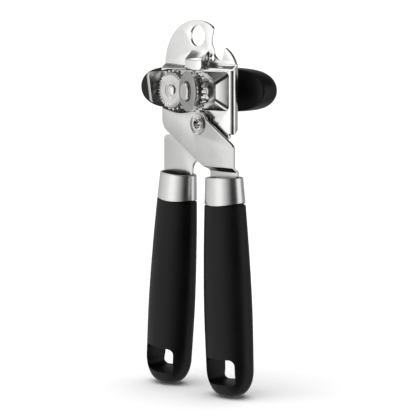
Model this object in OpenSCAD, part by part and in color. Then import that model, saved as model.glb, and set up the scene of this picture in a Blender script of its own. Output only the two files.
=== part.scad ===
// Manual can opener with crossed sheet-steel arms, geared wheels and a bar knob.
// X runs across the head, the wheels face -Y, the knob is at +Y, and the head is up.
// Every module below is drawn about the arm pivot: its axis is the line x = 0, z = 0, and
// y = 0 is the front face of the lower head panel. in_part_frame() then moves the drawing so
// that the part's origin is the centre of the hanging hole, on the front of the upper head.

/* [Sheet steel] */
// Thickness of both arm plates
sheet = 1.8; // [1.5:0.1:2]
// How far each joggle steps the sheet back
joggle = 3; // [2.6:0.1:3.2]
// Radius of the round top of the head
head_r = 23.5; // [22:0.5:25]
// Radius of the hanging hole
hang_r = 5.6; // [4:0.1:6.5]
// Distance from the arm pivot up to the hanging hole
hang_z = 47.2; // [46:0.1:48]

/* [Pivot] */
// Radius of the hollow pivot rivet's shank
pivot_r = 2.9; // [2.5:0.1:3.2]
// Radius of the bore through the pivot rivet
pivot_bore_r = 2.1; // [1.5:0.1:2.2]

/* [Wheels and gears] */
// Radius of the serrated feed wheel
feed_r = 9.9; // [9:0.1:10]
// Serrations round the feed wheel
feed_teeth = 36; // [28:2:44]
// Radius of the cutting wheel at its edge
cutter_r = 10.7; // [10:0.1:11]
// Lean of the cutting wheel's axis, in degrees
tilt = 20; // [18:1:22]
// Pitch radius of both gears
pitch_r = 10.3; // [10.2:0.1:10.4]
// Teeth on each gear, an even number
gear_teeth = 20; // [18:2:22]
// Thickness of each gear
gear_thick = 2; // [1.6:0.1:2]
// Radius of the drive shaft
shaft_r = 3; // [2.6:0.1:3.2]

/* [Knob] */
// Length of the bar knob
knob_len = 97; // [85:1:105]
// Height of the bar knob at its middle
knob_h = 24; // [18:0.5:24]
// Thickness of the bar knob, front to back
knob_thick = 15; // [12:0.5:17]
// Gap from the head panel back to the knob's wings
knob_gap = 13.5; // [13:0.5:16]

/* [Handles] */
// Length of the grip below its ferrule
grip_len = 103.6; // [90:0.5:110]
// Widest width of a grip
grip_w = 30; // [27:0.5:31]
// Widest depth of a grip
grip_d = 21.6; // [19:0.2:22]
// Length of a steel ferrule
ferrule_len = 15; // [13:0.5:17]
// Width of a ferrule at its open top
ferrule_w = 23.6; // [23:0.2:24.4]
// Lean of the left handle, in degrees
left_lean = -4.3; // [-5:0.1:-3]
// Lean of the right handle, in degrees
right_lean = 2.5; // [1.5:0.1:3]

/* [Hidden] */
$fn = 64;

steel = "silver";
bright = "gainsboro";
dark_steel = "darkgray";
black = "#202124";

// Clearances
fixed_gap = 0.02;  // between two pieces that are fastened together
running_gap = 0.05;  // between a shaft and the bore it turns in
face_gap = 0.05;  // between faces that slide on each other
eps = 0.02;

// Head layout, all measured from the pivot axis
hang_x = -6;
head_x = -7.6;
head_z = 32.4;
head_left = -31;
head_right = 22.9;
joggle_low = 29;
joggle_high = 32.4;
bend_r = 0.9;  // inner radius of the folded flanges
guide_left = -10.2;
guide_right = 2.3;

// Feed axis and the stack on it, from the front of the feed wheel to the panel
feed_x = -14.7;
feed_z = 18;
feed_front = -9;
feed_thick = 2;
gear_front = feed_front + feed_thick + face_gap;
gear_back = gear_front + gear_thick;
gear_mid = (gear_front + gear_back) / 2;
collar_front = -2.4;
clinch = 1.6;
washer = 0.9;

// Cutter axis: cutter_c is the centre of the cutting edge, and s runs backwards from it
cutter_gear_s = 5.2;
mesh_gap = 0.15;
cutter_x = feed_x + pitch_r * (1 + cos(tilt)) - cutter_gear_s * sin(tilt) + mesh_gap;
cutter_y = gear_mid - cutter_gear_s * cos(tilt) - pitch_r * sin(tilt);
hub_s = 3.4;
gear_s0 = cutter_gear_s - gear_thick / 2;
gear_s1 = cutter_gear_s + gear_thick / 2;
wave_s1 = 8;
seat_s = 11.4;
stud_r = 2.4;
boss_r = 6.6;

// Front arm
front_y = -joggle;
dimple = 1;
lip_x = -14.5;
lip_z = 41;
lip_r0 = 33.3;
lip_r1 = 36;
front_joggle_low = -25.2;
front_joggle_high = -22.2;
flange_x = -32;
dish_r = 12.9;
window_r = 13.7;

// Handles
handle_y = sheet / 2;
handle_z = -28;
left_x = -18.8;
right_x = 16.3;
tang_w = 19.6;
tang_inner_w = 13;
tang_len = 72;
ferrule_wall = 0.9;
bow_r = 60;
eye_top = -97.6;
eye_w = 21;
eye_h = 14;

// ---------------------------------------------------------------- helpers

module in_part_frame() {
    translate([-hang_x, -joggle, -hang_z]) children();
}

// Extrudes an outline drawn in X and Z from y0 back to y1
module plate(y0, y1) {
    translate([0, y1, 0]) rotate([90, 0, 0]) linear_extrude(y1 - y0) children();
}

// Extrudes an outline drawn in Y and Z from x0 to x1
module side_plate(x0, x1) {
    translate([x0, 0, 0]) rotate([90, 0, 90]) linear_extrude(x1 - x0) children();
}

// Straight rod along Y
module rod(y0, y1, r) {
    translate([0, y1, 0]) rotate([90, 0, 0]) cylinder(h = y1 - y0, r = r);
}

// Turns a profile of [radius, y] points about the Y axis
module turned(points) {
    rotate([90, 0, 0]) rotate_extrude() polygon([for (p = points) [p[0], -p[1]]]);
}

// Ring along Y
module ring(y0, y1, r, bore) {
    turned([[bore, y0], [r, y0], [r, y1], [bore, y1]]);
}

module at_feed() {
    translate([feed_x, 0, feed_z]) children();
}

// Local frame of the cutter: local y = 0 is the plane of the cutting edge
module at_cutter() {
    translate([cutter_x, cutter_y, feed_z]) rotate([0, 0, -tilt]) children();
}

// Local frame of a handle: z = 0 is the top of the ferrule, y = 0 its middle plane
module at_handle(x, lean) {
    translate([x, handle_y, handle_z]) rotate([0, -lean, 0]) children();
}

function arc(cx, cy, r, a0, a1, steps) = [
    for (i = [0 : steps])
        let (a = a0 + (a1 - a0) * i / steps)
            [cx + r * cos(a), cy + r * sin(a)]
];

// Smooth step from 0 to 1, the shape of a pressed joggle
function s_bend(t) = (1 - cos(180 * t)) / 2;

// Front face of a joggle as [distance along the sheet, y] points, y going from y0 to y1
function joggle_face(d0, d1, y0, y1) = [
    for (i = [0 : 10])
        [d0 + (d1 - d0) * i / 10, y0 + (y1 - y0) * s_bend(i / 10)]
];

// Gear outline with straight flanks, narrower than half a pitch to leave backlash
function gear_points(turn) = [
    for (i = [0 : gear_teeth - 1], p = tooth)
        let (a = (i + p[1] + turn) * 360 / gear_teeth)
            [p[0] * cos(a), p[0] * sin(a)]
];
tip_r = pitch_r + 0.85;
root_r = pitch_r - 1.15;
tooth = [[root_r, -0.29], [pitch_r, -0.205], [tip_r, -0.1], [tip_r, 0.1], [pitch_r, 0.205], [root_r, 0.29]];

// ---------------------------------------------------------------- rear arm

// Round head with the cap-lifter hook, down to the foot of the upper joggle
module head_outline() {
    polygon(concat(
        [[head_left, joggle_low - 1]],
        arc(head_x, head_z, head_r, 180, 60, 24),
        [[4.9, 52.2], [5.5, 51.2]],
        [[3.9, 45.4], [4.1, 43.4]],
        arc(10.4, 39, 4.5, 175, 262, 8),
        arc(11.8, 36, 1.4, 280, 350, 4),
        [[13.9, 40.3], [14.3, 40.9], [14.9, 40.9]],
        arc(7.4, 26.8, 15.9, 62, 20, 8),
        [[head_right, 32.2], [head_right, joggle_low - 1]]
    ));
}

// Lower panel, crossing arm and wide top of the left tang
module rear_arm_outline() {
    polygon(concat(
        [[head_left, joggle_low - 0.9], [head_left, 60], [head_right, 60], [head_right, -2]],
        arc(head_right - 4, -3, 4, 0, -62, 6),
        [[0.5, -18]],
        arc(-1, -26.5, 6.9, 104, 180, 8),
        [[-8.3, handle_z - 1], [-29.2, handle_z - 1]],
        arc(-26.7, -9.6, 2.5, 180, 90, 6),
        [[-22, -6.6], [-16.5, -3.6], [-8.4, 2.2], [-7.3, 4.2]],
        arc(feed_x, feed_z, window_r, -56, 55, 16),
        [[-25, 29.2]]
    ));
}

// The YZ section of the rear arm's sheet, with the joggle below the head
module rear_section() {
    front = concat([[-100, 0]], joggle_face(joggle_low, joggle_high, 0, joggle), [[60, joggle]]);
    back = [for (i = [len(front) - 1 : -1 : 0]) [front[i][0], front[i][1] + sheet]];
    polygon([for (p = concat(front, back)) [p[1], p[0]]]);
}

// Flange folded back along the right edge of the lower panel
module right_flange() {
    centre_x = head_right - sheet - bend_r;
    outline_top = joggle_high - 1;
    intersection() {
        translate([0, 0, -10]) linear_extrude(50) {
            translate([centre_x, sheet + bend_r]) intersection() {
                difference() {
                    circle(sheet + bend_r);
                    circle(bend_r);
                }
                translate([0, -10]) square(10);
            }
            translate([head_right - sheet, sheet + bend_r - eps]) square([sheet, 1.8]);
        }
        side_plate(head_right - 5, head_right + 1)
            polygon([
                [0, -4.6], [2, -5.2], [4.5, -2.6],
                [4.5, outline_top], [3.6, outline_top], [0, joggle_low]
            ]);
    }
}

// Raised ramp that carries the cutter's stud, as a solid; shrink makes the hollow behind it
module ramp_solid(shrink) {
    corner = 2.6;
    hull() {
        for (x = [-2.6 + corner + shrink, 20.9 - corner - shrink])
            for (z = [6.8 + corner + shrink, 28.8 - corner - shrink])
                translate([x, 0, z]) rod(sheet / 2 + shrink, sheet + shrink, corner, $fn = 32);
        at_cutter() for (x = [-9 + shrink, 11.2 - corner - shrink])
            for (z = [-6.2 + corner + shrink, 6.2 - corner - shrink])
                translate([x, 0, z]) rod(seat_s + shrink, seat_s + shrink + 0.1, corner, $fn = 32);
    }
}

// Hole that the rim guide leaves, with a round relief at its right end
module guide_window() {
    translate([-10.8, 30.2]) square([13.8, 8.4]);
    translate([5, 35.4]) circle(1.8);
}

// Hooked guide that rests on the can's rim, pushed forward out of the head
module rim_guide() {
    intersection() {
        union() {
            side_plate(guide_left, guide_right) polygon([
                [4.8, 38.2], [4.8, 40], [3, 39.4], [-1.6, 35.4], [-2.3, 34.6], [-2.6, 33.7], [-2.6, 29],
                [-1.2, 29], [-1.2, 33.6], [-0.8, 34.3], [3.4, 37.8]
            ]);
            side_plate(guide_right - 1.2, guide_right) polygon([
                [4.8, 31], [4.8, 40], [3, 39.4], [-1.6, 35.4], [-2.3, 34.6], [-2.6, 33.7], [-2.6, 29],
                [-1, 29], [3.2, 31]
            ]);
        }
        plate(-5, 6) polygon(concat(
            [[guide_left, 41], [guide_right, 41]],
            arc(guide_right - 2, 31, 2, 0, -90, 4),
            arc(guide_left + 2, 31, 2, -90, -180, 4)
        ));
    }
}

module head_plate() {
    in_part_frame() color(steel) difference() {
        union() {
            difference() {
                intersection() {
                    side_plate(-60, 60) rear_section();
                    plate(-20, 20) union() {
                        intersection() {
                            rear_arm_outline();
                            translate([-60, -60]) square([120, 60 + joggle_high - 0.5]);
                        }
                        difference() {
                            head_outline();
                            translate([-60, -60]) square([120, 60 + joggle_low]);
                        }
                    }
                }
                translate([head_right - sheet - bend_r + eps, -10, -20]) cube([10, 20, 20 + joggle_low]);
                plate(-20, 20) guide_window();
            }
            intersection() {
                plate(-20, 20) rear_arm_outline();
                ramp_solid(0);
            }
            right_flange();
            rim_guide();
            plate(0, sheet) translate([left_x, handle_z]) rotate(left_lean) tang_outline();
        }
        ramp_solid(sheet * 0.8);
        translate([hang_x, 0, hang_z]) rod(joggle - 1, joggle + sheet + 1, hang_r);
        rod(-1, sheet + 1, pivot_r + fixed_gap);
        at_cutter() rod(seat_s - 1, seat_s + sheet + 1, stud_r + fixed_gap);
    }
}

module pivot_rivet() {
    head_y = front_y + dimple - face_gap;
    tail_y = sheet + face_gap + washer;
    in_part_frame() color(bright) turned([
        [pivot_bore_r, head_y - 1.2], [pivot_bore_r + 0.4, head_y - 1.7], [pivot_r - 0.1, head_y - 1.8],
        [pivot_r + 0.4, head_y - 1.5], [pivot_r + 0.6, head_y - 1], [pivot_r + 0.6, head_y],
        [pivot_r, head_y], [pivot_r, tail_y],
        [pivot_r + 0.9, tail_y], [pivot_r + 0.7, tail_y + 0.8], [pivot_bore_r + 0.3, tail_y + 0.9],
        [pivot_bore_r, tail_y + 0.5]
    ]);
}

module pivot_washer() {
    in_part_frame() color(dark_steel)
        ring(sheet + eps, sheet + washer, pivot_r + 2.4, pivot_r + fixed_gap);
}

// ---------------------------------------------------------------- cutter on the rear arm

module cutter_stud() {
    head_r = 5;
    tail_s = seat_s + sheet + washer;
    in_part_frame() color(bright) at_cutter() turned(concat(
        [[0, -2.4]],
        [for (a = [15 : 15 : 75]) [head_r - 1.4 + 1.4 * sin(a), -1 - 1.4 * cos(a)]],
        [[head_r, -1], [head_r, 0.75], [stud_r, 0.75], [stud_r, tail_s + eps]],
        [[stud_r + 1, tail_s + eps], [stud_r + 0.7, tail_s + 0.9], [0, tail_s + 1.2]]
    ));
}

module cutter_washer() {
    in_part_frame() color(dark_steel) at_cutter()
        ring(gear_s1 + 0.2, wave_s1, boss_r, stud_r + fixed_gap);
}

module cutter_spacer() {
    in_part_frame() color(bright) at_cutter() turned([
        [stud_r + fixed_gap, wave_s1 + eps], [boss_r - 0.4, wave_s1 + eps], [boss_r, wave_s1 + 0.4],
        [boss_r, seat_s - eps], [stud_r + fixed_gap, seat_s - eps]
    ]);
}

module stud_washer() {
    in_part_frame() color(dark_steel) at_cutter()
        ring(seat_s + sheet + 0.1, seat_s + sheet + washer, stud_r + 1.6, stud_r + fixed_gap);
}

module cutting_wheel() {
    in_part_frame() color(bright) at_cutter() turned([
        [stud_r + running_gap, 0.85], [5.5, 0.85], [5.5, -0.5], [6, -0.7],
        [cutter_r - 1.4, -0.45], [cutter_r, 0], [cutter_r - 2.1, 1.6], [cutter_r - 2.4, 2.6],
        [6.2, 2.8], [6.2, hub_s], [stud_r + running_gap, hub_s]
    ]);
}

module gear_body(y0, y1, turn) {
    plate(y0, y1) polygon(gear_points(turn));
}

module cutter_gear() {
    in_part_frame() color(dark_steel) at_cutter() difference() {
        union() {
            gear_body(gear_s0, gear_s1, 0.5);
            rod(hub_s + eps, gear_s0 + eps, 6);
        }
        rod(0, gear_s1 + 1, stud_r + running_gap);
    }
}

// ---------------------------------------------------------------- front arm

// Lower part of the front arm, up to the curved lip under the wheels
module front_arm_outline() {
    polygon(concat(
        [[-27.5, 12], [-27.5, 2]],
        arc(-18.5, 2, 9, 180, 222, 6),
        [[-0.6, -19.9], [6.4, -23.9]],
        [[right_x - tang_w / 2 + 0.4, -26], [right_x - tang_w / 2, handle_z - 1]],
        [[right_x + tang_w / 2, handle_z - 1], [right_x + tang_w / 2 + 0.3, -25.5], [26.3, -22.6]],
        arc(22.8, -12.6, 3.5, 0, 60, 6),
        [[-1, 7], [-3.4, 9.4]]
    ));
}

// The part behind the wheels, which lies in the plane of the lower head panel
module bearing_outline() {
    difference() {
        union() {
            intersection() {
                translate([feed_x, feed_z]) circle(dish_r);
                translate([-60, -20]) square([120, 48.6]);
            }
            polygon([[-27.5, 3], [-29, 11.5], [-29, 26.4], [-14, 26.4], [-14, 3]]);
        }
        // open corner between the bearing and the head
        difference() {
            translate([-27.6, 23]) square([9.5, 6]);
            translate([feed_x, feed_z]) circle(9.4);
        }
    }
}

// Corner of the lip that would touch the head panel
module beside_bearing() {
    difference() {
        intersection() {
            translate([lip_x, lip_z]) circle(lip_r1 - 0.5);
            translate([-9.4, -10]) square(40);
        }
        translate([feed_x, feed_z]) circle(window_r - 0.45);
    }
}

// Turned section of the lip: the sheet steps back as it nears the lip's centre
module lip_sheet() {
    front = concat([[0.01, 0]], joggle_face(lip_r0, lip_r1, 0, front_y), [[75, front_y]]);
    back = [for (i = [len(front) - 1 : -1 : 0]) [front[i][0], front[i][1] + sheet]];
    translate([lip_x, 0, lip_z]) turned(concat(front, back));
}

// Section of the lower joggle, where the arm steps back to its tang
module tang_section() {
    front = concat(
        [[-60, 0]],
        joggle_face(front_joggle_low, front_joggle_high, 0, front_y),
        [[-14, front_y]]
    );
    back = [for (i = [len(front) - 1 : -1 : 0]) [front[i][0], front[i][1] + sheet]];
    polygon([for (p = concat(front, back)) [p[1], p[0]]]);
}

// Finger guard folded forward along the left edge of the front arm
module left_flange() {
    fold_x = flange_x + sheet + bend_r;
    intersection() {
        translate([0, 0, 5]) linear_extrude(30) {
            translate([fold_x, -bend_r]) intersection() {
                difference() {
                    circle(sheet + bend_r);
                    circle(bend_r);
                }
                translate([-10, 0]) square(10);
            }
            translate([flange_x, -14]) square([sheet, 14 - bend_r + eps]);
            translate([fold_x - eps, 0]) square([1, sheet]);
        }
        side_plate(flange_x - 1, flange_x + 6)
            polygon([[3, 11.6], [-7, 10.8], [-8.2, 12], [-10.3, 25], [-9.6, 27.4], [-8.8, 27.7], [3, 27.7]]);
    }
}

module tang_outline() {
    polygon([
        [-tang_w / 2, 1], [tang_w / 2, 1], [tang_w / 2 - 0.3, -10], [tang_inner_w / 2, -16],
        [tang_inner_w / 2, 3 - tang_len], [tang_inner_w / 2 - 3, -tang_len],
        [3 - tang_inner_w / 2, -tang_len], [-tang_inner_w / 2, 3 - tang_len],
        [-tang_inner_w / 2, -16], [0.3 - tang_w / 2, -10]
    ]);
}

module front_plate() {
    in_part_frame() color(steel) difference() {
        union() {
            difference() {
                union() {
                    intersection() {
                        lip_sheet();
                        plate(-20, 20) union() {
                            intersection() {
                                front_arm_outline();
                                translate([-60, -15]) square(120);
                            }
                            intersection() {
                                bearing_outline();
                                translate([lip_x, lip_z]) circle(lip_r0 + 1);
                            }
                        }
                    }
                    intersection() {
                        side_plate(-60, 60) tang_section();
                        plate(-20, 20) intersection() {
                            front_arm_outline();
                            translate([-60, -60]) square([120, 45 + eps]);
                        }
                    }
                }
                rod(-20, 20, 6.6);
                plate(-20, 20) beside_bearing();
            }
            turned([
                [0, front_y + dimple], [4.6, front_y + dimple], [5.2, front_y + 0.75], [5.7, front_y + 0.2],
                [6.2, front_y], [6.62, front_y], [6.62, front_y + sheet], [6, front_y + sheet + 0.2],
                [5.4, front_y + sheet + 0.75], [4.8, front_y + sheet + dimple], [0, front_y + sheet + dimple]
            ]);
            left_flange();
            plate(0, sheet) translate([right_x, handle_z]) rotate(right_lean) tang_outline();
        }
        rod(-20, 20, pivot_r + running_gap);
        at_feed() rod(-1, sheet + 1, shaft_r + 1.6 + fixed_gap);
    }
}

module shaft_bushing() {
    barrel_r = shaft_r + 1.6;
    in_part_frame() color(bright) at_feed() turned([
        [shaft_r + running_gap, collar_front],
        [barrel_r + 1, collar_front], [barrel_r + 1.4, collar_front + 0.4],
        [barrel_r + 1.4, -eps], [barrel_r, -eps], [barrel_r, sheet + eps], [barrel_r + 1.5, sheet + eps],
        [barrel_r + 1.2, sheet + clinch], [shaft_r + running_gap, sheet + clinch]
    ]);
}

// ---------------------------------------------------------------- drive

module drive_shaft() {
    dome_r = shaft_r + 0.2;
    in_part_frame() color(bright) difference() {
        at_feed() turned(concat(
            [[0, feed_front - 0.7]],
            [for (a = [20 : 20 : 80]) [dome_r * sin(a), feed_front + 0.5 - 1.2 * cos(a)]],
            [[dome_r, feed_front + 0.58], [shaft_r, feed_front + 0.58]],
            [[shaft_r, knob_gap + 10], [0, knob_gap + 10]]
        ));
        knob_pin_hole(fixed_gap);
    }
}

module feed_wheel() {
    serration = 0.95;
    in_part_frame() color(steel) at_feed() difference() {
        plate(feed_front, feed_front + feed_thick) polygon([
            for (i = [0 : 2 * feed_teeth - 1])
                let (r = feed_r - serration * (i % 2), a = i * 180 / feed_teeth)
                    [r * cos(a), r * sin(a)]
        ]);
        // shallow dish on the front, and the seat of the peened shaft end
        turned([[0, feed_front - 1], [8.6, feed_front - 1], [8.2, feed_front], [4.6, feed_front + 0.35],
            [4.3, feed_front + 0.6], [0, feed_front + 0.6]]);
        rod(feed_front - 1, 0, shaft_r + fixed_gap);
    }
}

module drive_gear() {
    in_part_frame() color(dark_steel) at_feed() difference() {
        gear_body(gear_front, gear_back, 0);
        rod(-20, 0, shaft_r + fixed_gap);
    }
}

module gear_spacer() {
    in_part_frame() color(bright) at_feed()
        ring(gear_back + eps, collar_front - face_gap, shaft_r + 2, shaft_r + fixed_gap);
}

module thrust_washer() {
    in_part_frame() color(dark_steel) at_feed()
        ring(sheet + clinch + face_gap, sheet + clinch + washer, shaft_r + 4, shaft_r + fixed_gap);
}

// Cross hole through the knob's hub and the shaft
module knob_pin_hole(gap) {
    at_feed() translate([-10, hub_front + 4, 0]) rotate([0, 90, 0]) cylinder(h = 20, r = pin_r + gap);
}
pin_r = 1.2;
hub_front = sheet + clinch + washer + 0.1;
hub_r = 9;

// Outline of the bar: full in the middle, tapering to blunt rounded ends
function knob_points(k) = [
    for (a = [0 : 6 : 354])
        [k * knob_len / 2 * sign(cos(a)) * pow(abs(cos(a)), knob_blunt), k * knob_h / 2 * sin(a)]
];
knob_blunt = 0.4;

module knob() {
    in_part_frame() color(black) difference() {
        union() {
            at_feed() translate([0, knob_gap, 0]) hull() {
                plate(0, 1) polygon(knob_points(0.98));
                plate(1, knob_thick - 7) polygon(knob_points(1));
                plate(1, knob_thick - 5) polygon(knob_points(0.99));
                plate(1, knob_thick - 2.8) polygon(knob_points(0.96));
                plate(1, knob_thick - 1) polygon(knob_points(0.89));
                plate(1, knob_thick) polygon(knob_points(0.77));
            }
            at_feed() rod(hub_front, knob_gap + 3, hub_r);
        }
        at_feed() rod(hub_front - 1, knob_gap + 10 + eps, shaft_r + fixed_gap);
        knob_pin_hole(fixed_gap);
    }
}

module knob_pin() {
    in_part_frame() color(bright) at_feed()
        translate([0.3 - hub_r, hub_front + 4, 0])
            rotate([0, 90, 0]) cylinder(h = 2 * hub_r - 0.6, r = pin_r);
}

// ---------------------------------------------------------------- handles

// Oval slice of a handle at height z
module slice(z, w, d) {
    translate([0, 0, z]) scale([w, d, 1]) cylinder(h = 0.02, r = 0.5, $fn = 40);
}

// Outside of the ferrule, less inset all round; its lower edge is bowed
module ferrule_solid(inset) {
    hull() {
        slice(-0.02, ferrule_w - 1.2 - 2 * inset, 15.4 - 2 * inset);
        slice(-0.8, ferrule_w - 2 * inset, 16.4 - 2 * inset);
        slice(-ferrule_len, ferrule_w + 1.9 - 2 * inset, 18 - 2 * inset);
    }
}

module ferrule() {
    difference() {
        intersection() {
            ferrule_solid(0);
            translate([0, 0, bow_r - ferrule_len]) rod(-20, 20, bow_r);
        }
        translate([0, 0, 0.5]) ferrule_solid(ferrule_wall);
        translate([0, 0, -1]) ferrule_solid(ferrule_wall);
    }
}

// Length along the handle and size of the grip's sections, with a rounded lower end
module grip_solid() {
    end_z = -ferrule_len - grip_len;
    round_w = 11;
    round_h = 14;
    hull() {
        slice(2 - ferrule_len, ferrule_w + 1.9 - 0.2, 18 - 0.15);
        slice(-ferrule_len - 0.3, ferrule_w + 2.1, 18.2);
        slice(-55, grip_w - 0.8, grip_d - 0.6);
        slice(-74, grip_w, grip_d);
        slice(-92, grip_w - 0.2, grip_d - 0.3);
        for (a = [0 : 15 : 90])
            slice(
                end_z + round_h * (1 - sin(a)),
                grip_w - 0.6 - 2 * round_w * (1 - cos(a)),
                (grip_d - 0.6) * sqrt(0.1 + 0.9 * cos(a))
            );
    }
}

module eye_outline() {
    r = 3;
    translate([0, eye_top - eye_h / 2]) {
        square([eye_w, eye_h - 2 * r], center = true);
        square([eye_w - 2 * r, eye_h], center = true);
        for (x = [-1, 1])
            for (z = [-1, 1])
                translate([x * (eye_w / 2 - r), z * (eye_h / 2 - r)]) circle(r);
    }
}

module grip() {
    neck_top = -1.6;
    difference() {
        union() {
            difference() {
                grip_solid();
                translate([0, 0, bow_r - ferrule_len]) rod(-20, 20, bow_r + eps);
            }
            hull() {
                slice(neck_top, ferrule_w - 2.4, 14.2);
                slice(-ferrule_len - 2, ferrule_w - 0.4, 15.6);
            }
        }
        plate(-sheet / 2 - 0.05, sheet / 2 + 0.05) union() {
            translate([-tang_w / 2 - 0.1, -10.5]) square([tang_w + 0.2, 12]);
            translate([-tang_w / 2 - 0.1, -16.5]) square([tang_w + 0.2, 6.1]);
            translate([-tang_inner_w / 2 - 0.1, -tang_len - 0.4]) square([tang_inner_w + 0.2, tang_len]);
        }
        plate(-20, 20) eye_outline();
    }
}

module left_ferrule() {
    in_part_frame() color(bright) at_handle(left_x, left_lean) ferrule();
}

module right_ferrule() {
    in_part_frame() color(bright) at_handle(right_x, right_lean) ferrule();
}

module left_grip() {
    in_part_frame() color(black) at_handle(left_x, left_lean) grip();
}

module right_grip() {
    in_part_frame() color(black) at_handle(right_x, right_lean) grip();
}

head_plate();
left_ferrule();
left_grip();
pivot_rivet();
pivot_washer();
cutter_stud();
cutter_spacer();
cutter_washer();
stud_washer();
front_plate();
right_ferrule();
right_grip();
shaft_bushing();
drive_shaft();
feed_wheel();
drive_gear();
gear_spacer();
thrust_washer();
knob();
knob_pin();
cutting_wheel();
cutter_gear();
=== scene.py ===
# %% [markdown]
# # A manual can opener
#
# Two pressed steel arms cross at a hollow rivet. One carries the cutting wheel, the other the toothed feed
# wheel, which a plastic knob at the back turns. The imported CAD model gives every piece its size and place;
# this file gives the pieces their finish, rounds the edges that a press or a mould leaves round, and makes
# the plastic parts, the ferrules and the feed wheel again with smooth surfaces and finer detail. The scene is
# in metres. The grips, ferrules, knob, hub and feed wheel are drawn in millimetres and then scaled by MM.

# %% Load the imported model
from math import atan2, cos, pi, radians, sin, sqrt

import bmesh
import bpy
from mathutils import Matrix, Vector


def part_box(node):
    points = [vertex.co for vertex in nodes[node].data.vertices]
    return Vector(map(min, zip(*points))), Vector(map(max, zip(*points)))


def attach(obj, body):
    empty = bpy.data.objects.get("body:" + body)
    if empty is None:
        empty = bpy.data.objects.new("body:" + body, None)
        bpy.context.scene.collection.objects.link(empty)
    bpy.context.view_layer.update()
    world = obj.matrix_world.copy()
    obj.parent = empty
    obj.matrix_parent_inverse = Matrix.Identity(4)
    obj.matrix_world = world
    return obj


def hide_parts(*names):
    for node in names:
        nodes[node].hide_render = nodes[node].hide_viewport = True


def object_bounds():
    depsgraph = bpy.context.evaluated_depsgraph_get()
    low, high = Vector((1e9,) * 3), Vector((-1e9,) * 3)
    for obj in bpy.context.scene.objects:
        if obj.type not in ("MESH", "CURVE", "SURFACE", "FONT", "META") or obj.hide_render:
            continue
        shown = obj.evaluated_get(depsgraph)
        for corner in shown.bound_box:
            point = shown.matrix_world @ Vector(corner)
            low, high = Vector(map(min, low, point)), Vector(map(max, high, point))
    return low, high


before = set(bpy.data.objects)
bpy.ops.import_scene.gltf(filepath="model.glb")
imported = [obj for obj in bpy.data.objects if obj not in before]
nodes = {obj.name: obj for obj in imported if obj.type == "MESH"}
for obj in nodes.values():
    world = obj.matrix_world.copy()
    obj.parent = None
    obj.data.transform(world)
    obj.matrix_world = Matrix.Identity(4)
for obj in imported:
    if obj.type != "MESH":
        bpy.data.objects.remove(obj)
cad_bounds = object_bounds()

print("box of the model, mm:", [[round(c * 1000, 1) for c in corner] for corner in cad_bounds])

# %% [markdown]
# Colours are picked as sRGB hex values, the way a paint chart or a picture editor gives them, but shaders
# want linear light. One function does the change, so every colour below can stay readable.

# %% Colours
def linear(hex_colour):
    channels = [int(hex_colour[i:i + 2], 16) / 255 for i in (1, 3, 5)]
    return tuple(c / 12.92 if c <= 0.04045 else ((c + 0.055) / 1.055) ** 2.4 for c in channels) + (1.0,)


print("satin steel, linear:", [round(c, 3) for c in linear("#CACAC9")[:3]])

# %% [markdown]
# Every material is a small tree of nodes. One helper adds a node, sets its properties and inputs, and links
# whatever is given as another node's output. An input is named, or numbered (i0, i6) where a node has several
# of one name. Pattern scales come from a real size: a noise whose blobs are 0.4 mm wide repeats 2500 times in
# a metre.

# %% A helper for nodes
def add(tree, kind, props=None, **inputs):
    made = tree.nodes.new("ShaderNode" + kind)
    for key, value in (props or {}).items():
        setattr(made, key, value)
    for key, value in inputs.items():
        numbered = key[0] == "i" and key[1:].isdigit()
        socket = made.inputs[int(key[1:]) if numbered else key.replace("_", " ")]
        if isinstance(value, bpy.types.NodeSocket):
            tree.links.new(value, socket)
        else:
            socket.default_value = value
    return made


def per_metre(size_mm):
    return 1000.0 / size_mm


def new_material(name, **constants):
    material = bpy.data.materials.new(name)
    material.use_nodes = True
    tree = material.node_tree
    shader = tree.nodes["Principled BSDF"]
    for key, value in constants.items():
        shader.inputs[key.replace("_", " ")].default_value = value
    place = add(tree, "TexCoord").outputs["Object"]
    return material, tree, shader, place


# %% [markdown]
# ## Steel
#
# The arms are stainless sheet, 1.8 mm thick, pressed from a rolled strip and then tumbled with the burrs
# taken off. The strip's rolling leaves a very fine grain along it, and tumbling leaves a faint orange peel
# and small marks. To the eye that is a soft mirror whose reflections are blurred a little more in some
# places than in others. A metal's colour is all in its reflection, so the base colour stays almost grey and
# the life comes from roughness and a shallow bump.

# %% Rolled and tumbled stainless sheet
STEEL_CLOUD_MM = 14.0


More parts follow.
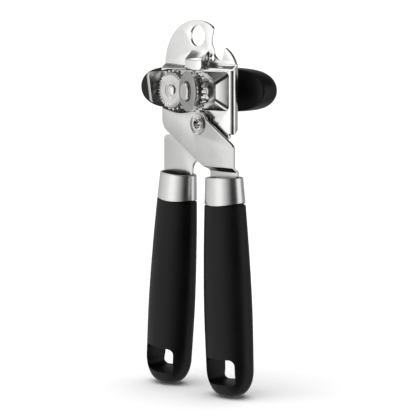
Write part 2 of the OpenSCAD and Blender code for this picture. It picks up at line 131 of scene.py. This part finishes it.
def steel_finish(name, light, dark, rough, grain_mm, grain_stretch, peel_mm, grain_depth_mm, peel_depth_mm):
    material, tree, shader, place = new_material(name, Metallic=1.0)
    run = add(tree, "Mapping", Vector=place, Scale=grain_stretch)
    grain = add(tree, "TexNoise", Vector=run.outputs["Vector"], Scale=per_metre(grain_mm), Detail=4.0,
                Roughness=0.6)
    peel = add(tree, "TexNoise", Vector=place, Scale=per_metre(peel_mm), Detail=2.0, Roughness=0.5)
    cloud = add(tree, "TexNoise", Vector=place, Scale=per_metre(STEEL_CLOUD_MM), Detail=3.0, Roughness=0.55)
    tint = add(tree, "ValToRGB", Fac=cloud.outputs["Fac"])
    tint.color_ramp.elements[0].position = 0.3
    tint.color_ramp.elements[0].color = linear(dark)
    tint.color_ramp.elements[1].position = 0.7
    tint.color_ramp.elements[1].color = linear(light)
    tree.links.new(tint.outputs["Color"], shader.inputs["Base Color"])
    both = add(tree, "Math", {"operation": "ADD"}, i0=grain.outputs["Fac"], i1=cloud.outputs["Fac"])
    spread = add(tree, "MapRange", Value=both.outputs["Value"], From_Min=0.7, From_Max=1.3,
                 To_Min=rough[0], To_Max=rough[1])
    tree.links.new(spread.outputs["Result"], shader.inputs["Roughness"])
    fine = add(tree, "Bump", Height=grain.outputs["Fac"], Strength=1.0, Distance=grain_depth_mm / 1000)
    wavy = add(tree, "Bump", Height=peel.outputs["Fac"], Strength=1.0, Distance=peel_depth_mm / 1000,
               Normal=fine.outputs["Normal"])
    tree.links.new(wavy.outputs["Normal"], shader.inputs["Normal"])
    return material


# The head's colours are lighter than the arm's: painted light, as if the head caught more light.
head_steel_painted_bright = steel_finish(
    "stainless_sheet_painted_bright", "#EEEEEC", "#E2E2E0", (0.13, 0.27),
    grain_mm=0.35, grain_stretch=(1.0, 1.0, 0.12), peel_mm=2.6, grain_depth_mm=0.0022, peel_depth_mm=0.012)
arm_steel = steel_finish(
    "stainless_sheet_satin", "#CACAC9", "#BCBCBB", (0.22, 0.34),
    grain_mm=0.35, grain_stretch=(1.0, 1.0, 0.12), peel_mm=2.6, grain_depth_mm=0.003, peel_depth_mm=0.01)

# %% [markdown]
# The head is painted lighter than the arm below it, which keeps a satin colour: that lighter colour is
# painted light, standing in for the light the head catches. A ramp along the height of the sheet mixes the
# two colours, and seen from the front the other arm crosses over the change.

# %% Head painted lighter, satin arm
def satin_below(material, colour, low_m, high_m):
    tree = material.node_tree
    shader = tree.nodes["Principled BSDF"]
    bright = shader.inputs["Base Color"].links[0].from_socket
    parts = add(tree, "SeparateXYZ", Vector=add(tree, "TexCoord").outputs["Object"])
    share = add(tree, "MapRange", Value=parts.outputs["Z"], From_Min=low_m, From_Max=high_m)
    mixed = add(tree, "Mix", {"data_type": "RGBA"}, i0=share.outputs["Result"], i6=linear(colour), i7=bright)
    tree.links.new(mixed.outputs[2], shader.inputs["Base Color"])


# Painted light: above this band the sheet keeps the lighter head colour, below it the satin colour.
satin_below(head_steel_painted_bright, "#C6C6C5", low_m=-0.058, high_m=-0.046)

# %% [markdown]
# The ferrules are drawn from thinner stainless strip and brushed round and round, so their grain runs
# around the handle and the light stretches into soft bands along it. The wheels and gears are hardened
# steel: turned, blanked and a little darker. Rivets and the shaft's peened end are the brightest.

# %% Brushed, turned and polished steel
ferrule_steel = steel_finish(
    "stainless_ferrule_brushed", "#DCDCDB", "#D2D2D1", (0.27, 0.36),
    grain_mm=0.5, grain_stretch=(0.12, 0.12, 1.0), peel_mm=5.0, grain_depth_mm=0.005, peel_depth_mm=0.004)
wheel_steel = steel_finish(
    "hardened_steel_turned", "#DAD9D7", "#C4C3C1", (0.14, 0.28),
    grain_mm=0.3, grain_stretch=(1.0, 1.0, 1.0), peel_mm=1.2, grain_depth_mm=0.003, peel_depth_mm=0.008)
cutter_steel = steel_finish(
    "hardened_steel_ground", "#B4B4B3", "#9C9C9B", (0.14, 0.26),
    grain_mm=0.3, grain_stretch=(1.0, 1.0, 1.0), peel_mm=1.2, grain_depth_mm=0.003, peel_depth_mm=0.008)
gear_steel = steel_finish(
    "blanked_steel_plated", "#D2D1CE", "#B4B3B0", (0.1, 0.2),
    grain_mm=0.3, grain_stretch=(1.0, 1.0, 1.0), peel_mm=1.0, grain_depth_mm=0.002, peel_depth_mm=0.012)
rivet_steel = steel_finish(
    "rivet_steel_polished", "#DCDBD8", "#CBCAC7", (0.1, 0.2),
    grain_mm=0.3, grain_stretch=(1.0, 1.0, 1.0), peel_mm=1.5, grain_depth_mm=0.001, peel_depth_mm=0.01)

# %% [markdown]
# ## Black plastic
#
# The grips are moulded polypropylene with a spark-eroded texture, which breaks the light into a soft sheen
# without hiding the shape. The knob is glass-filled nylon from a smoother tool, so its edges catch a
# slightly tighter light. Both are never quite black: a little grey comes back at glancing angles. The grain
# of about 0.3 mm is too fine to show at this size, so a second, coarser one of 1.1 mm helps it.

# %% Moulded plastic
COARSE_GRAIN_MM, PLASTIC_CLOUD_MM = 1.1, 18.0


def moulded_plastic(name, light, dark, rough, grain_mm, depth_mm):
    material, tree, shader, place = new_material(name, IOR=1.49, Specular_IOR_Level=0.2)
    grain = add(tree, "TexNoise", Vector=place, Scale=per_metre(grain_mm), Detail=3.0, Roughness=0.65)
    coarse = add(tree, "TexNoise", Vector=place, Scale=per_metre(COARSE_GRAIN_MM), Detail=2.0, Roughness=0.6)
    cloud = add(tree, "TexNoise", Vector=place, Scale=per_metre(PLASTIC_CLOUD_MM), Detail=3.0, Roughness=0.5)
    tint = add(tree, "ValToRGB", Fac=cloud.outputs["Fac"])
    tint.color_ramp.elements[0].position = 0.35
    tint.color_ramp.elements[0].color = linear(dark)
    tint.color_ramp.elements[1].position = 0.65
    tint.color_ramp.elements[1].color = linear(light)
    tree.links.new(tint.outputs["Color"], shader.inputs["Base Color"])
    both = add(tree, "Math", {"operation": "ADD"}, i0=coarse.outputs["Fac"], i1=cloud.outputs["Fac"])
    spread = add(tree, "MapRange", Value=both.outputs["Value"], From_Min=0.7, From_Max=1.3,
                 To_Min=rough[0], To_Max=rough[1])
    tree.links.new(spread.outputs["Result"], shader.inputs["Roughness"])
    first = add(tree, "Bump", Height=grain.outputs["Fac"], Strength=1.0, Distance=depth_mm / 1000)
    second = add(tree, "Bump", Height=coarse.outputs["Fac"], Strength=1.0, Distance=depth_mm / 1000,
                 Normal=first.outputs["Normal"])
    tree.links.new(second.outputs["Normal"], shader.inputs["Normal"])
    return material


grip_plastic = moulded_plastic(
    "polypropylene_black_textured", "#0D0D0E", "#09090A", (0.4, 0.52), grain_mm=0.3, depth_mm=0.02)
knob_plastic = moulded_plastic(
    "nylon_black_moulded", "#101011", "#0B0B0C", (0.34, 0.46), grain_mm=0.35, depth_mm=0.012)

# %% [markdown]
# ## Small hardware
#
# The small CAD nodes that are turned or blanked already have the right shape, and only their material slots
# change. The nodes that finished pieces replace further on get their finish here too.

# %% Finish of the CAD nodes
finish_of = {
    "pivot_rivet": rivet_steel, "pivot_washer": gear_steel, "cutter_stud": rivet_steel,
    "cutter_spacer": rivet_steel, "cutter_washer": gear_steel, "stud_washer": gear_steel,
    "shaft_bushing": rivet_steel, "drive_shaft": rivet_steel, "feed_wheel": wheel_steel,
    "drive_gear": gear_steel, "gear_spacer": rivet_steel, "thrust_washer": gear_steel,
    "knob_pin": rivet_steel, "cutting_wheel": cutter_steel, "cutter_gear": gear_steel,
    "head_plate": head_steel_painted_bright, "front_plate": arm_steel, "left_ferrule": ferrule_steel,
    "right_ferrule": ferrule_steel, "left_grip": grip_plastic, "right_grip": grip_plastic,
    "knob": knob_plastic,
}
for name, finish in finish_of.items():
    nodes[name].data.materials.clear()
    nodes[name].data.materials.append(finish)
print("finished:", len(finish_of), "of", len(nodes))

# %% [markdown]
# ## From a bmesh to a finished piece
#
# A finished piece keeps its place in its mesh and its object at the origin, unturned. Faces are smooth
# except where two of them meet at more than a set angle.

# %% Turn a bmesh into a piece
def piece_from(bm, name, body, finish, replaced=(), place=Matrix(), sharp=32.0):
    bmesh.ops.transform(bm, matrix=place, verts=bm.verts)
    mesh = bpy.data.meshes.new(name)
    bm.to_mesh(mesh)
    bm.free()
    mesh.shade_smooth()
    mesh.set_sharp_from_angle(angle=radians(sharp))
    mesh.materials.clear()
    mesh.materials.append(finish)
    piece = bpy.data.objects.new(name, mesh)
    bpy.context.scene.collection.objects.link(piece)
    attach(piece, body)
    if replaced:
        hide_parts(*replaced)
    print(name, "faces:", len(mesh.polygons))


# %% [markdown]
# ## The two arms
#
# A blanked edge is never a knife edge: the punch rolls one side over and tumbling rounds the other, so
# it catches a thin line of light. The CAD plates are copied and merged, flat areas become single faces,
# and a bevel of a fifth of a millimetre goes round every sharp edge. A Bevel modifier could do the same, but
# bevelling the bmesh shows at once how many edges are treated.

# %% Round the edges of a copied plate
def rounded_copy(node, radius_mm, steps=2, angle=38.0):
    bm = bmesh.new()
    bm.from_mesh(nodes[node].data)
    bmesh.ops.remove_doubles(bm, verts=bm.verts, dist=2e-6)
    bmesh.ops.recalc_face_normals(bm, faces=bm.faces)
    bmesh.ops.dissolve_limit(bm, angle_limit=radians(0.6), verts=bm.verts, edges=bm.edges)
    edges = [e for e in bm.edges if len(e.link_faces) == 2 and e.calc_face_angle() > radians(angle)]
    bmesh.ops.bevel(bm, geom=edges, offset=radius_mm / 1000, segments=steps, profile=0.5, affect="EDGES",
                    material=-1, clamp_overlap=True)
    bmesh.ops.recalc_face_normals(bm, faces=bm.faces)
    print(node, "edges rounded:", len(edges))
    return bm


PLATE_EDGE_MM = 0.22
plates = [("head_plate", "rear_arm", head_steel_painted_bright), ("front_plate", "front_arm", arm_steel)]
for node, body, finish in plates:
    piece_from(rounded_copy(node, PLATE_EDGE_MM), node + "_sheet", body, finish, [node])

# %% [markdown]
# ## Handles
#
# Each handle leans a few degrees, so its pieces are made upright about their own axis, in millimetres, and
# then put in place by one matrix. The top of the ferrule is z = 0.

# %% Where the handles are
MM = Matrix.Scale(0.001, 4)
HANDLE_Y, HANDLE_TOP = -2.1, -75.2


def handle_place(x_mm, lean_degrees):
    lean = Matrix.Rotation(radians(-lean_degrees), 4, "Y")
    return MM @ Matrix.Translation((x_mm, HANDLE_Y, HANDLE_TOP)) @ lean


sides = {
    "left": {"place": handle_place(-12.8, -4.3), "body": "rear_arm"},
    "right": {"place": handle_place(22.3, 2.5), "body": "front_arm"},
}
for side in sides:
    low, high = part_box(side + "_ferrule")
    print(side, "ferrule, mm:", [round(c * 1000, 1) for c in low], [round(c * 1000, 1) for c in high])

# %% [markdown]
# An oval ring is extruded again and again, and each new ring is scaled to the width and depth of the
# handle at its height. That is a loft, and it needs no Subdivision Surface to look smooth because the
# rings follow a curve.

# %% Loft of oval rings
def ring_edges(edges, ring):
    ring = set(ring)
    return [e for e in edges if e.verts[0] in ring and e.verts[1] in ring]


def oval_loft(sections, segments=96):
    bm = bmesh.new()
    height, width, depth = sections[0]
    ring = bmesh.ops.create_circle(bm, segments=segments, radius=0.5)["verts"]
    bmesh.ops.scale(bm, vec=(width, depth, 1), verts=ring)
    bmesh.ops.translate(bm, vec=(0, 0, height), verts=ring)
    edges = first = ring_edges(bm.edges, ring)
    for new_height, new_width, new_depth in sections[1:]:
        made = bmesh.ops.extrude_edge_only(bm, edges=edges)["geom"]
        ring = [g for g in made if isinstance(g, bmesh.types.BMVert)]
        bmesh.ops.scale(bm, vec=(new_width / width, new_depth / depth, 1), verts=ring)
        bmesh.ops.translate(bm, vec=(0, 0, new_height - height), verts=ring)
        edges = ring_edges([g for g in made if isinstance(g, bmesh.types.BMEdge)], ring)
        height, width, depth = new_height, new_width, new_depth
    return bm, first, edges


# %% [markdown]
# The grip swells towards its middle, narrows a little and ends in a rounded nose. Its width and depth are
# given at a few heights, and a smooth curve joins them.

# %% Shape of the grip
FERRULE_LONG = 15.0
GRIP_END = -118.58
stations = [(-FERRULE_LONG - 0.2, 25.6, 18.1), (-34.0, 27.6, 19.7), (-55.0, 29.2, 21.0), (-74.0, 30.0, 21.6),
            (-92.0, 29.8, 21.3), (-104.0, 29.4, 20.95)]


def smooth_between(points, t):
    n = len(points) - 1
    i = min(int(t * n), n - 1)
    u = t * n - i
    p = [points[max(i - 1, 0)], points[i], points[i + 1], points[min(i + 2, n)]]
    return tuple(
        0.5 * (2 * b + (c - a) * u + (2 * a - 5 * b + 4 * c - d) * u * u + (3 * b - a - 3 * c + d) * u ** 3)
        for a, b, c, d in zip(*p))


BODY_STEPS, NOSE_STEPS = 40, 18
NOSE_LONG, NOSE_NARROWS, NOSE_FLAT = 14.6, 21.4, 0.06
nose_width, nose_depth = stations[-1][1:]
grip_sections = [smooth_between(stations, i / BODY_STEPS) for i in range(BODY_STEPS + 1)]
for step in range(1, NOSE_STEPS + 1):
    a = step * pi / 2 / NOSE_STEPS
    height = GRIP_END + NOSE_LONG * (1 - sin(a))
    width = nose_width - NOSE_NARROWS * (1 - cos(a))
    grip_sections.append((height, width, nose_depth * sqrt(NOSE_FLAT + (1 - NOSE_FLAT) * cos(a))))
print("rings in a grip:", len(grip_sections))

# %% [markdown]
# The hanging eye is a rounded slot straight through from front to back. It is cut with a Boolean, applied
# at once.

# %% Hanging eye
EYE_WIDTH, EYE_HEIGHT, EYE_MIDDLE, EYE_CORNER = 21.0, 14.0, -104.6, 3.0
RIGHT_THROUGH = 40.0


def eye_cutter():
    bm = bmesh.new()
    bmesh.ops.create_cube(bm, size=1.0)
    bmesh.ops.scale(bm, vec=(EYE_WIDTH, RIGHT_THROUGH, EYE_HEIGHT), verts=bm.verts)
    along = [e for e in bm.edges if abs(e.verts[0].co.y - e.verts[1].co.y) > 1]
    bmesh.ops.bevel(bm, geom=along, offset=EYE_CORNER, segments=8, profile=0.5, affect="EDGES", material=-1)
    bmesh.ops.translate(bm, vec=(0, 0, EYE_MIDDLE), verts=bm.verts)
    return bm


def as_object(bm, name):
    mesh = bpy.data.meshes.new(name)
    bm.to_mesh(mesh)
    bm.free()
    made = bpy.data.objects.new(name, mesh)
    bpy.context.scene.collection.objects.link(made)
    return made


def cut(bm, tool):
    body, knife = as_object(bm, "cut_body"), as_object(tool, "cut_tool")
    step = body.modifiers.new("cut", "BOOLEAN")
    step.operation, step.solver, step.object = "DIFFERENCE", "EXACT", knife
    bpy.context.view_layer.update()
    result = bmesh.new()
    result.from_mesh(body.evaluated_get(bpy.context.evaluated_depsgraph_get()).to_mesh())
    for used in (body, knife):
        bpy.data.objects.remove(used)
    return result


# %% [markdown]
# The grip is the loft closed at both ends. Its top face is inset and drawn up, which makes the neck that goes
# up inside the ferrule, as in CAD. The rim of the eye gets the soft edge that a mould's insert leaves.

# %% Grips
NECK_INSET, NECK_LONG = 0.9, 12.6
EYE_RIM_LOW, EYE_RIM_HIGH, EYE_RIM_SIDE = -113, -96, 11


def on_eye_rim(co):
    return EYE_RIM_LOW < co.z < EYE_RIM_HIGH and abs(co.x) < EYE_RIM_SIDE


def make_grip():
    bm, top, bottom = oval_loft(grip_sections)
    bmesh.ops.edgeloop_fill(bm, edges=bottom)
    cap = bmesh.ops.edgeloop_fill(bm, edges=top)["faces"]
    bmesh.ops.inset_region(bm, faces=cap, thickness=NECK_INSET)
    neck = bmesh.ops.extrude_face_region(bm, geom=cap)["geom"]
    raised = [g for g in neck if isinstance(g, bmesh.types.BMVert)]
    bmesh.ops.translate(bm, vec=(0, 0, NECK_LONG), verts=raised)
    bmesh.ops.delete(bm, geom=cap, context="FACES_ONLY")
    bmesh.ops.recalc_face_normals(bm, faces=bm.faces)
    bm = cut(bm, eye_cutter())
    rim = [e for e in bm.edges if len(e.link_faces) == 2 and e.calc_face_angle() > radians(34)
           and on_eye_rim(e.verts[0].co)]
    bmesh.ops.bevel(bm, geom=rim, offset=0.5, segments=3, profile=0.5, affect="EDGES", material=-1,
                    clamp_overlap=True)
    return bm


for side, at in sides.items():
    piece_from(make_grip(), side + "_grip_moulded", at["body"], grip_plastic,
               [side + "_grip"], at["place"])

# %% [markdown]
# A ferrule is a drawn oval cup, open at both ends. Its top rim is rolled in, and its lower edge is bowed: it
# hangs lowest in the middle of the front and rises to the sides. Both rims are folded inwards by one ring and
# run a little way up or down inside, which gives the sheet its thickness where it can be seen.

# %% Ferrules
BOW_RADIUS = 60.0
MOUTH_WIDTH, MOUTH_DEPTH = 22.4, 15.4
ROLL_HIGH, ROLL_WIDER, ROLL_DEEPER = 0.8, 1.2, 1.0
SKIRT_WIDER, SKIRT_DEEPER = 1.9, 1.6
WALL_SCALE = (0.955, 0.935, 1)


def bow(x):
    return BOW_RADIUS - sqrt(BOW_RADIUS ** 2 - x * x)


def ferrule_sections():
    quarter = [i * pi / 12 for i in range(7)]
    rolled = [(-0.02 - ROLL_HIGH * (1 - cos(a)), MOUTH_WIDTH + ROLL_WIDER * sin(a),
               MOUTH_DEPTH + ROLL_DEEPER * sin(a)) for a in quarter]
    width, depth = MOUTH_WIDTH + ROLL_WIDER, MOUTH_DEPTH + ROLL_DEEPER
    skirt = [(-ROLL_HIGH - t * (FERRULE_LONG - ROLL_HIGH), width + SKIRT_WIDER * t, depth + SKIRT_DEEPER * t)
             for t in [i / 8 for i in range(1, 9)]]
    return rolled + skirt


def make_ferrule():
    bm, top, bottom = oval_loft(ferrule_sections())
    low = {v for e in bottom for v in e.verts}
    for v in low:
        v.co.z += bow(v.co.x)
    for edges, lift in ((top, -2.2), (bottom, 1.2)):
        made = bmesh.ops.extrude_edge_only(bm, edges=edges)["geom"]
        ring = [g for g in made if isinstance(g, bmesh.types.BMVert)]
        bmesh.ops.scale(bm, vec=WALL_SCALE, verts=ring)
        edges = ring_edges([g for g in made if isinstance(g, bmesh.types.BMEdge)], ring)
        made = bmesh.ops.extrude_edge_only(bm, edges=edges)["geom"]
        ring = [g for g in made if isinstance(g, bmesh.types.BMVert)]
        bmesh.ops.translate(bm, vec=(0, 0, lift), verts=ring)
    bmesh.ops.recalc_face_normals(bm, faces=bm.faces)
    rim = [e for e in bm.edges if len(e.link_faces) == 2 and e.calc_face_angle() > radians(50)]
    bmesh.ops.bevel(bm, geom=rim, offset=0.16, segments=2, profile=0.5, affect="EDGES", material=-1,
                    clamp_overlap=True)
    return bm


for side, at in sides.items():
    piece_from(make_ferrule(), side + "_ferrule_drawn", at["body"], ferrule_steel,
               [side + "_ferrule"], at["place"])

# %% [markdown]
# ## Knob
#
# The knob is a bar with blunt ends. Its front face is flat with a crisp edge where the mould's halves meet,
# and behind that the sides draw in to a broad rounded back that the hand turns. A circle is pulled into the
# outline and extruded through the thickness. Each level has its depth behind the front face, in mm, and the
# share of the full outline that the ring has there.

# %% Knob
KNOB_BLUNT = 0.4
KNOB_THICK = 15.0
KNOB_LEVELS = [(0.0, 0.966), (0.12, 0.978), (0.4, 0.984), (1.2, 0.99), (3.0, 0.995), (7.0, 0.995),
               (9.5, 0.988), (11.2, 0.974), (12.4, 0.955), (13.2, 0.922), (13.9, 0.893), (14.25, 0.861),
               (14.65, 0.814), (KNOB_THICK, 0.768)]


def knob_outline(co, half_long, half_high):
    around = Vector((co.x, 0, co.z)).normalized()
    c, s = around.x, around.z
    return half_long * (1 if c >= 0 else -1) * abs(c) ** KNOB_BLUNT, half_high * s


def make_knob():
    low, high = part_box("knob")
    half_long, half_high = (high.x - low.x) * 500, (high.z - low.z) * 500
    front_y = high.y * 1000 - KNOB_THICK
    bm = bmesh.new()
    ring = bmesh.ops.create_circle(bm, segments=160, radius=1.0)["verts"]
    bmesh.ops.rotate(bm, cent=(0, 0, 0), matrix=Matrix.Rotation(pi / 2, 3, "X"), verts=ring)
    angle = {v: v.co.copy() for v in ring}
    edges = first = list(bm.edges)
    for i, (depth, share) in enumerate(KNOB_LEVELS):
        if i:
            made = bmesh.ops.extrude_edge_only(bm, edges=edges)["geom"]
            fresh = [g for g in made if isinstance(g, bmesh.types.BMVert)]
            angle = {v: min(angle.items(), key=lambda old: (old[0].co - v.co).length)[1] for v in fresh}
            edges = ring_edges([g for g in made if isinstance(g, bmesh.types.BMEdge)], fresh)
        for v, co in angle.items():
            x, z = knob_outline(co, half_long * share, half_high * share)
            v.co = (x, front_y + depth, z)
    bmesh.ops.edgeloop_fill(bm, edges=first)
    bmesh.ops.edgeloop_fill(bm, edges=edges)
    bmesh.ops.translate(bm, vec=((low.x + high.x) * 500, 0, (low.z + high.z) * 500), verts=bm.verts)
    bmesh.ops.recalc_face_normals(bm, faces=bm.faces)
    return bm


piece_from(make_knob(), "knob_moulded", "drive", knob_plastic, ["knob"], MM)

# %% [markdown]
# The hub is the round boss that holds the knob off the plates and takes the cross pin. It flares into the bar
# with a small fillet so that the mould releases and the joint does not crack.

# %% Knob hub
HUB, HUB_BORE = 9.0, 3.1


def make_hub():
    low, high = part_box("knob")
    shaft_low, shaft_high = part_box("drive_shaft")
    start, end = low.y * 1000, high.y * 1000 - KNOB_THICK + 0.5
    profile = [(HUB_BORE, start + 0.02), (HUB - 0.5, start + 0.02), (HUB, start + 0.5), (HUB, end - 2.2),
               (HUB + 0.3, end - 1.3), (HUB + 0.9, end - 0.7), (HUB + 1.1, end)]
    bm = bmesh.new()
    points = [bm.verts.new((r, y, 0)) for r, y in profile]
    line = [bm.edges.new(pair) for pair in zip(points, points[1:])]
    bmesh.ops.spin(bm, geom=points + line, cent=(0, 0, 0), axis=(0, 1, 0), dvec=(0, 0, 0), angle=2 * pi,
                   steps=72, use_merge=True, use_duplicate=False)
    bmesh.ops.remove_doubles(bm, verts=bm.verts, dist=0.001)
    bmesh.ops.translate(bm, vec=((shaft_low.x + shaft_high.x) * 500, 0, (shaft_low.z + shaft_high.z) * 500),
                        verts=bm.verts)
    bmesh.ops.recalc_face_normals(bm, faces=bm.faces)
    return bm


piece_from(make_hub(), "knob_hub", "drive", knob_plastic, (), MM)

# %% [markdown]
# ## Feed wheel
#
# The feed wheel grips the can under its rim, so its rim is cut into sharp teeth and every notch runs a little
# way onto the front face. One ring of points is extruded from the bore, over the dished face, across the
# teeth and back. Each ring has one radius and depth for the tips and another for the notches.

# %% Feed wheel
TEETH = 36
POINTS_PER_TOOTH = 4
WHEEL_BORE, SHAFT_RECESS, DISH, NOTCH = 3.05, 4.3, 7.6, 0.95


def wheel_rings(front, back, tip):
    round_rings = [(WHEEL_BORE, back), (WHEEL_BORE, front + 0.62), (SHAFT_RECESS, front + 0.6),
                   (SHAFT_RECESS + 0.3, front + 0.36), (DISH, front + 0.2), (DISH + 0.3, front + 0.02),
                   (DISH + 0.6, front + 0.01)]
    toothed_rings = [(tip - 0.25, tip - NOTCH, front + 0.05, front + 0.62),
                     (tip, tip - NOTCH, front + 0.3, front + 0.85),
                     (tip, tip - NOTCH, back - 0.3, back - 0.3), (tip - 0.3, tip - 1.0, back, back)]
    return [(radius, radius, y, y) for radius, y in round_rings] + toothed_rings


def make_feed_wheel():
    low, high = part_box("feed_wheel")
    rings = wheel_rings(low.y * 1000, high.y * 1000, (high.x - low.x) * 500 - 0.01)
    count = TEETH * POINTS_PER_TOOTH
    bm = bmesh.new()
    ring = bmesh.ops.create_circle(bm, segments=count, radius=3.0)["verts"]
    bmesh.ops.rotate(bm, cent=(0, 0, 0), matrix=Matrix.Rotation(pi / 2, 3, "X"), verts=ring)
    edges = first = list(bm.edges)
    for i, (tip_r, notch_r, tip_y, notch_y) in enumerate(rings):
        if i:
            made = bmesh.ops.extrude_edge_only(bm, edges=edges)["geom"]
            ring = [g for g in made if isinstance(g, bmesh.types.BMVert)]
            edges = ring_edges([g for g in made if isinstance(g, bmesh.types.BMEdge)], ring)
        for v in ring:
            angle = atan2(v.co.z, v.co.x)
            step = round(angle / (2 * pi) * count) % POINTS_PER_TOOTH
            depth = min(step, POINTS_PER_TOOTH - step) / (POINTS_PER_TOOTH / 2)
            radius = tip_r + (notch_r - tip_r) * depth
            v.co = (radius * cos(angle), tip_y + (notch_y - tip_y) * depth, radius * sin(angle))
    bmesh.ops.bridge_loops(bm, edges=first + edges)
    bmesh.ops.translate(bm, vec=((low.x + high.x) * 500, 0, (low.z + high.z) * 500), verts=bm.verts)
    bmesh.ops.recalc_face_normals(bm, faces=bm.faces)
    return bm


piece_from(make_feed_wheel(), "feed_wheel_toothed", "drive", wheel_steel, ["feed_wheel"], MM,
           sharp=22.0)

# %% [markdown]
# ## Studio
#
# A pale floor, a wide sky of soft light and one soft lamp. Polished steel shows the room, so the room is made
# for it: bright to both sides, and dark behind the camera, where faces that look at the camera find their
# contrast. The floor is hidden from reflections, or it would fill the lower half of every bend with white.

# %% Floor
FLOOR_SIZE, FLOOR_GAP = 6.0, 0.0005
floor_z = cad_bounds[0][2] - FLOOR_GAP


def make_floor():
    bm = bmesh.new()
    bmesh.ops.create_grid(bm, x_segments=1, y_segments=1, size=FLOOR_SIZE)
    bmesh.ops.translate(bm, vec=(0, 0, floor_z), verts=bm.verts)
    return as_object(bm, "studio_floor")


floor = make_floor()
paper, tree, shader, place = new_material("floor_paper_white", Roughness=0.9)
SPECKLE_MM = 60.0
speckle = add(tree, "TexNoise", Vector=place, Scale=per_metre(SPECKLE_MM), Detail=2.0)
tint = add(tree, "ValToRGB", Fac=speckle.outputs["Fac"])
tint.color_ramp.elements[0].color = linear("#F4F4F4")
tint.color_ramp.elements[1].color = linear("#FAFAFA")
tree.links.new(tint.outputs["Color"], shader.inputs["Base Color"])
floor.data.materials.append(paper)
floor.visible_glossy = False
print("floor at z, mm:", round(floor_z * 1000, 2))

# %% [markdown]
# The camera stands nearly 0.9 m away, halfway round from the front to the right, and looks slightly down. A
# long lens keeps the perspective mild, so both handles seem nearly the same size.

# %% Camera
CAMERA_PLACE = Vector((0.6164, -0.6170, 0.0085))
LOOKS_DOWN, TURNED = radians(6.7), radians(44.595)
SENSOR_MM, LENS_MM = 36.0, 138.46154

camera_data = bpy.data.cameras.new("studio_camera")
camera_data.sensor_width, camera_data.lens, camera_data.clip_start = SENSOR_MM, LENS_MM, 0.01
camera = bpy.data.objects.new("studio_camera", camera_data)
camera.location = CAMERA_PLACE
camera.rotation_euler = (pi / 2 - LOOKS_DOWN, 0.0, TURNED)
bpy.context.scene.collection.objects.link(camera)
bpy.context.scene.camera = camera
print("camera, m from the origin:", round(CAMERA_PLACE.length, 3))

# %% [markdown]
# The sky's light is given by compass direction and by height. A broad bright band stands to the left and a
# narrower one to the right, as strip boxes would, and a second box hangs high on the left. Otherwise the
# ceiling is dark, which gives the bends and the cut edges their dark lines. Only light that has bounced sees
# this: straight behind the object the sky is plain white.

# %% Sky
def ramp(tree, value, stops):
    made = add(tree, "ValToRGB", Fac=value)
    elements = made.color_ramp.elements
    while len(elements) < len(stops):
        elements.new(0.5)
    for element, (position, level) in zip(elements, stops):
        element.position = position
        element.color = (level, level, level, 1)
    return made.outputs["Color"]


sky = bpy.data.worlds.new("studio_sky")
bpy.context.scene.world = sky
sky.use_nodes = True
tree = sky.node_tree
tree.nodes.clear()
towards = add(tree, "TexCoord").outputs["Generated"]
turned = add(tree, "Mapping", Vector=towards, Rotation=(0, 0, radians(45)))
compass = add(tree, "TexGradient", {"gradient_type": "RADIAL"}, Vector=turned.outputs["Vector"])
around = ramp(tree, compass.outputs["Fac"], [
    (0.0, 0.3), (0.08, 0.35), (0.17, 0.52), (0.235, 0.65), (0.268, 0.7), (0.305, 1.0), (0.345, 0.95),
    (0.39, 0.6), (0.44, 0.3), (0.49, 0.02), (0.555, 0.02), (0.572, 0.07), (0.582, 0.02), (0.602, 0.02),
    (0.62, 0.5), (0.65, 0.9), (0.74, 0.9), (0.79, 0.2), (0.9, 0.3), (1.0, 0.3)])
parts = add(tree, "SeparateXYZ", Vector=towards)
height = ramp(tree, parts.outputs["Z"], [(0.0, 1.0), (0.3, 1.0), (0.55, 0.16), (0.85, 0.12), (1.0, 0.3)])
walls = add(tree, "Mix", {"data_type": "RGBA", "blend_type": "MULTIPLY"}, i0=1.0, i6=around, i7=height)
left_box = ramp(tree, compass.outputs["Fac"], [
    (0.0, 0.0), (0.14, 0.0), (0.165, 1.0), (0.26, 1.0), (0.32, 0.3), (0.5, 0.0)])
box_height = ramp(tree, parts.outputs["Z"], [(0.0, 0.0), (0.5, 0.0), (0.6, 1.0), (0.78, 1.0), (0.88, 0.0)])
upper = add(tree, "Mix", {"data_type": "RGBA", "blend_type": "MULTIPLY"}, i0=1.0, i6=left_box,
            i7=box_height)
shaped = add(tree, "Mix", {"data_type": "RGBA", "blend_type": "ADD"}, i0=1.0, i6=walls.outputs[2],
             i7=upper.outputs[2])
seen = add(tree, "LightPath").outputs["Is Camera Ray"]
both = add(tree, "Mix", {"data_type": "RGBA"}, i0=seen, i6=shaped.outputs[2], i7=(1.0, 1.0, 1.0, 1))
SKY_STRENGTH = 1.5
glow = add(tree, "Background", Color=both.outputs[2], Strength=SKY_STRENGTH)
add(tree, "OutputWorld", Surface=glow.outputs["Background"])
print("nodes in the sky:", len(tree.nodes))

# %% [markdown]
# A very soft light straight from above keeps the floor white and draws a faint shadow under the handles. It
# is hidden from reflections, or it would show as a round spot on every bend.

# %% Overhead light
def overhead(name, strength, spread_degrees):
    data = bpy.data.lights.new(name, "SUN")
    data.energy, data.angle = strength, radians(spread_degrees)
    lamp = bpy.data.objects.new(name, data)
    lamp.location = (0, 0, 1)
    lamp.visible_glossy = False
    bpy.context.scene.collection.objects.link(lamp)
    print(name, "strength:", strength, "spread, degrees:", spread_degrees)


overhead("overhead_soft", strength=3.0, spread_degrees=70)
bpy.context.scene.view_settings.view_transform = "Standard"
